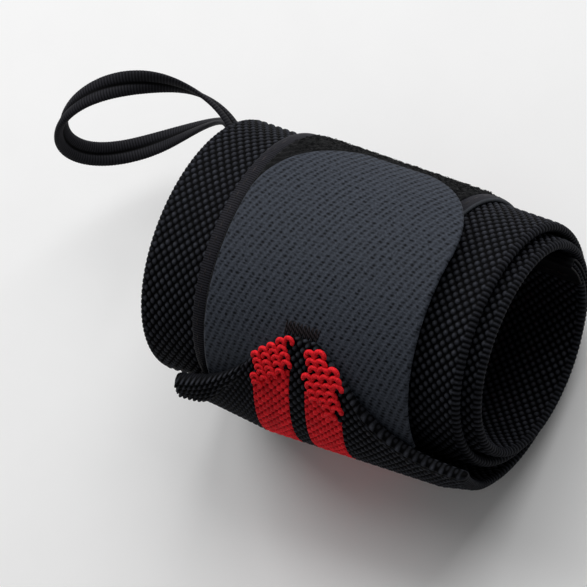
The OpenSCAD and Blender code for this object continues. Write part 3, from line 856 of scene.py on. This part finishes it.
def lay_tail(u, v, face, radius=bead_r):
    """Both corners are gathered along the end in pleats, thicker on the hand side, in rows of beads."""
    t = np.interp(v, strap_run, strap_angles)
    pleats, left = gather(u, v)
    stand = 1.0 + 0.6 * np.exp(-left / 11.0) * np.exp(-(u / 14.0) ** 4)
    h = strap_faces(u, v, face, bead_rise * stand * (1.0 - pleats), radius)
    ridge = np.abs(np.sin(math.pi * left / pleat))
    ridge = ridge * (0.45 + 0.55 * beads(np.abs(u) / yarn, left / pleat, 0.75))
    ridge = 0.6 * hand_corner(u) + np.where(u < 0.0, 0.9, 0.6) * ridge
    h = h + np.where(face > 0.5, pleats * ridge * rounding(u, 1.6, 1.65), 0.0)
    hem = np.clip(1.0 - left / 1.3, 0.0, 1.0)
    h = mid_t + (h - mid_t) * np.sqrt(1.0 - 0.92 * hem ** 2)
    return wound(centre_x(t) + drawn_x(u, t) + selvedge(u, v), t, lay(t) - sink(u, t) + h)


def lay_red(u, v, face):
    """As lay_tail, with the fuller beads of the stretched red yarn."""
    return lay_tail(u, v, face, red_bead_r)


def tail_grain(corners):
    """In the gathered corners the rows of beads run along the pleats."""
    pleats, left = gather(corners[..., 0], corners[..., 1])
    in_pleats = pleats.mean(axis=1, keepdims=True) > 0.5
    along_end = np.stack([np.abs(corners[..., 0]), left * pick / pleat], axis=-1)
    return np.where(in_pleats[..., None], along_end, corners)


fold_angles = (849.0, 862.0)
fold_start, fold_end = (wound(0.0, t, lay(t) + strap_t) * 0.001 for t in fold_angles)
open_ends = [(*red, share) for red, share in zip(red_widths, (0.88, 0.82))]
tail_bands = [(u0, u1, 0.0, 208) for _, bands in black_bands for u0, u1 in bands]
tail_bands += [(u0, u1, share, 40) for _, u0, u1, share in open_ends]
tail_strips = [(u0, u1, int(u1 - u0) * yarn_faces, share, 1.0, rows) for u0, u1, share, rows in tail_bands]
tail = cloth("strap_tail_weave", tail_strips, lay_tail, tail_cut, tail_grain)
tail.data.materials.append(black_yarn)
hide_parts("strap_tail")
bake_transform(tail)


def red_strand():
    """Loose red polyester strand: soft dull filaments, unevenly dark, drawn coarser than real, to show."""
    material, tree = bare_material("red_polyester_strand")
    place = put(tree, "ShaderNodeTexCoord").outputs["Object"]
    filaments_per_mm = 2.4
    filaments = put(tree, "ShaderNodeTexNoise", {
        "Vector": place, "Scale": 1000.0 * filaments_per_mm, "Detail": 3.0, "Roughness": 0.65,
    })
    ramp = put(tree, "ShaderNodeValToRGB", {"Fac": filaments.outputs["Fac"]})
    ramp.color_ramp.elements[0].position = 0.3
    ramp.color_ramp.elements[0].color = linear("#b0131b")
    ramp.color_ramp.elements[1].position = 0.65
    ramp.color_ramp.elements[1].color = linear("#ff2c36")
    bump = put(tree, "ShaderNodeBump", {
        "Height": filaments.outputs["Fac"], "Strength": 0.4, "Distance": 0.0002,
    })
    shader = put(tree, "ShaderNodeBsdfPrincipled", {
        "Base Color": ramp.outputs["Color"], "Roughness": 0.6, "Normal": bump.outputs["Normal"],
        "IOR": 1.5, "Specular IOR Level": 0.05,
    })
    put(tree, "ShaderNodeOutputMaterial", {"Surface": shader.outputs["BSDF"]})
    return material


def open_loops(name, u0, u1, share, ring, tube, pitch, follow, lean, short):
    """Rows of open yarn rings over the dark ground, each row on the feet of the row nearer the end.

    The rows follow the arch of the end, or lean, and stop short of the stripe's side at u1."""
    inner = u0 if u0 > 0.0 else u1
    peak = float(tail_cut(inner, 1.0)[1])
    low = fold_run + share * (peak - fold_run)
    stray = np.random.default_rng(11)
    places = []
    for row in range(-4, int((peak - low) / row_step) + 8):
        for k in range(-4, 5):
            u = (u0 + u1) / 2.0 + (k + row % 3 / 3.0) * pitch + stray.uniform(-0.15, 0.15)
            v = peak - 1.0 - row * row_step - follow * float(droop(u)) + lean * (u - inner)
            v = v + stray.uniform(-0.15, 0.15)
            spin = stray.uniform(-0.25, 0.25)
            end = float(tail_cut(u, 1.0)[1])
            start = fold_run + share * (end - fold_run)
            if not (u0 + 0.3 * ring < u < u1 - short and start - ring < v < end - 0.1 * ring):
                continue
            t = float(np.interp(v, strap_run, strap_angles))
            x = float(centre_x(t) + drawn_x(u, t))
            at, across, along, out = on_wrap(x, t, lay(t) + strap_t + 0.05)
            tip = Matrix.Rotation(math.radians(ring_tip), 4, "X") @ Matrix.Rotation(spin, 4, "Z")
            place = Matrix.Translation(Vector(at) * 0.001) @ facing(across, out) @ tip
            places.append(place @ Matrix.Scale(0.001, 4))
    lying = Matrix.Rotation(math.radians(205.0), 4, "Z") @ Matrix.Rotation(math.pi / 2.0, 4, "X")
    return scatter(name, bent_strand("one_yarn_ring", ring, tube, 8, 230.0, 12, turn=lying), places)


strand = red_strand()
ring_forms = {
    "left": {"ring": 0.86, "tube": 0.47, "pitch": 1.9, "follow": 1.0, "lean": 0.0, "short": 0.6},
    "right": {"ring": 1.0, "tube": 0.53, "pitch": 2.2, "follow": 0.0, "lean": 0.2, "short": 0.3},
}
for side, u0, u1, share in open_ends:
    yarns = cloth(f"tail_stripe_{side}_yarn", [(u0, u1, 36, 0.0, share, 200)], lay_red, tail_cut)
    yarns.data.materials.append(red_yarn)
    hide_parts(f"tail_stripe_{side}")
    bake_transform(yarns)
    loops = open_loops(f"tail_stripe_{side}_loops", u0, u1, share, **ring_forms[side])
    loops.data.materials.append(strand)
    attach(loops, "tail")


# Hook tab
# A 50 mm woven nylon hook tape with two rounded free corners, cut hot so that its edge shines a little.
# Its first 20 mm are sewn under the tail's peak with a bar tack, and its underside is full of hooks.
tab_w = 50.5
tab_reach = 47.0
tab_overlap = 20.0
tab_corner = 21.0
tab_t = 0.8
hook_t = 0.4
hook_from = 6.6
hook_step = 1.6
hook_row_step = 1.5
hole_step = (0.33, 0.77)
hole_row = (1.73, 0.075)
hole_squash = 0.62
tab_x = 5.2
tack_x = 4.4
tack_step = 0.46


def tab_half(s, margin):
    """Half the tab's width, less a margin, at a distance s beyond the tail's peak."""
    r = tab_corner - margin
    past = np.clip(s - (tab_reach - tab_corner), 0.0, r)
    return tab_w / 2.0 - margin - r + np.sqrt(r * r - past ** 2)


def lay_tab(u, v, face):
    """The hot-cut edge is rounded down."""
    t = np.interp(v, tab_run, tab_angles)
    inside = np.minimum(tab_half(v, 0.0) - np.abs(u), tab_reach - v)
    edge = np.clip(1.0 - inside / 0.4, 0.0, 1.0)
    top = hook_t + tab_t - 0.3 * edge ** 2
    return wound(tab_x + u, t, tab_seat(t) + np.where(face > 0.5, top, hook_t))


def hook_tape_backing():
    """Woven nylon backing, dark slate: tight, with slanted rows of small holes, one for each hook, painted
    dark inside as shade, more in some than in others.

    Its fuzz is drawn coarser than real so that it shows."""
    material, tree = bare_material("woven_nylon_hook_tape")
    flat = put(tree, "ShaderNodeUVMap", uv_map="flat").outputs["UV"]
    strays_per_mm = 0.9
    stray = put(tree, "ShaderNodeTexNoise", {"Vector": flat, "Scale": strays_per_mm, "Detail": 1.0})
    stray = put(tree, "ShaderNodeVectorMath", {
        0: stray.outputs["Color"], 1: (0.5, 0.5, 0.5),
    }, operation="SUBTRACT")
    stray = put(tree, "ShaderNodeVectorMath", {
        0: stray.outputs[0], 1: (0.5, 0.5, 0.0), 2: flat,
    }, operation="MULTIPLY_ADD")
    area = hole_step[0] * hole_row[1] - hole_row[0] * hole_step[1]
    along = put(tree, "ShaderNodeVectorMath", {
        0: stray.outputs[0], 1: (hole_row[1] / area, -hole_row[0] / area, 0.0),
    }, operation="DOT_PRODUCT")
    across = put(tree, "ShaderNodeVectorMath", {
        0: stray.outputs[0], 1: (-hole_step[1] / area, hole_step[0] / area, 0.0),
    }, operation="DOT_PRODUCT")
    cell = put(tree, "ShaderNodeCombineXYZ", {
        "X": along.outputs["Value"], "Y": across.outputs["Value"], "Z": 0.5,
    })
    cell = put(tree, "ShaderNodeVectorMath", {0: cell.outputs[0]}, operation="FRACTION")
    cell = put(tree, "ShaderNodeVectorMath", {0: cell.outputs[0], 1: (0.5, 0.5, 0.5)}, operation="SUBTRACT")
    hole_x = put(tree, "ShaderNodeVectorMath", {
        0: cell.outputs[0], 1: (hole_step[0] * hole_squash, hole_row[0] * hole_squash, 0.0),
    }, operation="DOT_PRODUCT")
    hole_y = put(tree, "ShaderNodeVectorMath", {
        0: cell.outputs[0], 1: (hole_step[1], hole_row[1], 0.0),
    }, operation="DOT_PRODUCT")
    hole = put(tree, "ShaderNodeCombineXYZ", {"X": hole_x.outputs["Value"], "Y": hole_y.outputs["Value"]})
    hole = put(tree, "ShaderNodeVectorMath", {0: hole.outputs[0]}, operation="LENGTH")
    hole_shades_per_mm = 1.1
    uneven_hole_shade = put(tree, "ShaderNodeTexNoise", {"Vector": flat, "Scale": hole_shades_per_mm, "Detail": 0.0})
    uneven_hole_shade = put(tree, "ShaderNodeMapRange", {
        "Value": uneven_hole_shade.outputs["Fac"], "From Min": 0.35, "From Max": 0.65, "To Min": 0.0, "To Max": 0.6,
    })
    # Painted shade: each hole darkens towards its middle, by an amount that varies from hole to hole.
    ground = put(tree, "ShaderNodeMapRange", {
        "Value": hole.outputs["Value"], "From Min": 0.14, "From Max": 0.5, "To Min": uneven_hole_shade.outputs["Result"],
    })
    fuzz_per_mm = 2.2
    fuzz = put(tree, "ShaderNodeTexNoise", {
        "Vector": flat, "Scale": fuzz_per_mm, "Detail": 4.0, "Roughness": 0.7,
    })
    fleck = put(tree, "ShaderNodeMapRange", {
        "Value": fuzz.outputs["Fac"], "From Min": 0.3, "From Max": 0.72, "To Min": 0.4, "To Max": 1.0,
    })
    shade_and_tone = put(tree, "ShaderNodeMath", {
        0: ground.outputs["Result"], 1: fleck.outputs["Result"],
    }, operation="MULTIPLY")
    ramp = put(tree, "ShaderNodeValToRGB", {"Fac": shade_and_tone.outputs[0]})
    ramp.color_ramp.elements[0].color = linear("#0c0e12")
    ramp.color_ramp.elements[1].color = linear("#474c56")
    bump = put(tree, "ShaderNodeBump", {"Height": shade_and_tone.outputs[0], "Strength": 0.5, "Distance": 0.0002})
    shader = put(tree, "ShaderNodeBsdfPrincipled", {
        "Base Color": ramp.outputs["Color"], "Roughness": 0.6, "Normal": bump.outputs["Normal"],
        "IOR": 1.53, "Specular IOR Level": 0.06,
    })
    put(tree, "ShaderNodeOutputMaterial", {"Surface": shader.outputs["BSDF"]})
    return material


tab_grid = (-1.0, 1.0, 120, -tab_overlap, tab_reach, 150)
tab = cloth("hook_tab_tape", [tab_grid], lay_tab, lambda u, v: (u * tab_half(v, 0.0), v))
tab.data.materials.append(hook_tape_backing())
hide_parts("hook_tab", "tab_root")


def on_tab(x, s, h):
    """As on_wrap, at a distance s beyond the tail's peak and a height over the pile."""
    t = float(np.interp(s, tab_run, tab_angles))
    return on_wrap(x, t, tab_seat(t) + h)


tab_start, tab_end = (on_tab(tab_x, s, hook_t + tab_t)[0] * 0.001 for s in (2.2, 6.2))
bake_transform(tab)


def cut_hooks():
    """Drawn nylon monofilament, cut to hooks: smooth, dark and a little glossy."""
    material, tree = bare_material("cut_nylon_hooks")
    place = put(tree, "ShaderNodeTexCoord").outputs["Object"]
    tints_per_mm = 0.7
    tint = put(tree, "ShaderNodeTexNoise", {
        "Vector": place, "Scale": 1000.0 * tints_per_mm, "Detail": 1.0,
    })
    ramp = put(tree, "ShaderNodeValToRGB", {"Fac": tint.outputs["Fac"]})
    ramp.color_ramp.elements[0].color = linear("#0e0f11")
    ramp.color_ramp.elements[1].color = linear("#24262a")
    shader = put(tree, "ShaderNodeBsdfPrincipled", {
        "Base Color": ramp.outputs["Color"], "Roughness": 0.35, "IOR": 1.53,
    })
    put(tree, "ShaderNodeOutputMaterial", {"Surface": shader.outputs["BSDF"]})
    return material


places = []
for j, s in enumerate(np.arange(hook_from, tab_reach - 2.2, hook_row_step)):
    half = float(tab_half(s, 2.0))
    for k in range(int(2.0 * half / hook_step) + 1):
        at, across, along, out = on_tab(tab_x - half + k * hook_step + 0.4 * (j % 2), float(s), hook_t - 0.1)
        turn = facing(along * (1.0 if (k + j) % 2 else -1.0), -out)
        places.append(Matrix.Translation(Vector(at) * 0.001) @ turn @ Matrix.Scale(0.001, 4))
hooks = scatter("hook_field_hooks", bent_strand("one_hook", 0.17, 0.08, 4, 230.0, 6), places)
hooks.data.materials.append(cut_hooks())
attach(hooks, "tab")
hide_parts("hook_field")
spots = []
for k in range(18):
    at, across, along, out = on_tab(tack_x + (k - 8.5) * tack_step, 1.0, hook_t + tab_t + 0.02)
    spots.append((at, along + across * (0.14 if k % 2 else 0.04), out))
tab_tack = stitches("tab_bar_tack", spots, 3.4, 0.5, 0.12)
tab_tack.data.materials.append(thread)
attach(tab_tack, "tail")
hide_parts("tab_bartack")


# Stage
# A plain pale table top under the wrap, soft studio light from above and from the left, and a long lens.
bm = bmesh.new()
floor = Matrix.Translation((0.0, 0.0, -0.0246))
bmesh.ops.create_grid(bm, x_segments=1, y_segments=1, size=3.0, matrix=floor)
table = new_piece(mesh_of("table_top", bm))

# White paper: matt, with hardly any grain, drawn far coarser than real.
grain_per_mm = 0.06
paper, tree = bare_material("white_paper")
place = put(tree, "ShaderNodeTexCoord").outputs["Object"]
grain = put(tree, "ShaderNodeTexNoise", {"Vector": place, "Scale": 1000.0 * grain_per_mm, "Detail": 2.0})
ramp = put(tree, "ShaderNodeValToRGB", {"Fac": grain.outputs["Fac"]})
ramp.color_ramp.elements[0].color = linear("#f4f4f4")
ramp.color_ramp.elements[1].color = linear("#f8f8f8")
shader = put(tree, "ShaderNodeBsdfPrincipled", {"Base Color": ramp.outputs["Color"], "Roughness": 0.9})
put(tree, "ShaderNodeOutputMaterial", {"Surface": shader.outputs["BSDF"]})
table.data.materials.append(paper)

scene = bpy.context.scene
world = bpy.data.worlds.new("studio")
world.use_nodes = True
world.node_tree.nodes["Background"].inputs["Color"].default_value = (1.0, 1.0, 1.0, 1.0)
world.node_tree.nodes["Background"].inputs["Strength"].default_value = 0.2
scene.world = world
lamps = [("overhead", (0.1, 0.85, 0.75), 0.9, 9.5), ("left_key", (-0.7, 0.35, 0.7), 0.6, 5.5)]
for name, at, size, power in lamps:
    lamp = bpy.data.lights.new(name, "AREA")
    lamp.shape = "SQUARE"
    lamp.size = size
    lamp.energy = power
    lamp_object = bpy.data.objects.new(name, lamp)
    lamp_object.location = at
    lamp_object.rotation_euler = Vector(at).to_track_quat("Z", "Y").to_euler()
    bpy.context.collection.objects.link(lamp_object)

lens = bpy.data.cameras.new("camera")
lens.angle = math.radians(14.0)
lens.clip_start = 0.01
lens.dof.use_dof = False
camera = bpy.data.objects.new("camera", lens)
right = Vector((0.8038, 0.3893, -0.4499))
up = Vector((-0.2712, 0.9128, 0.3054))
back = Vector((0.5296, -0.1235, 0.8392))
turn = Matrix((right, up, back)).transposed().to_4x4()
camera.matrix_world = Matrix.Translation((0.25666, -0.06773, 0.43186)) @ turn
bpy.context.collection.objects.link(camera)
scene.camera = camera
scene.view_settings.view_transform = "Standard"
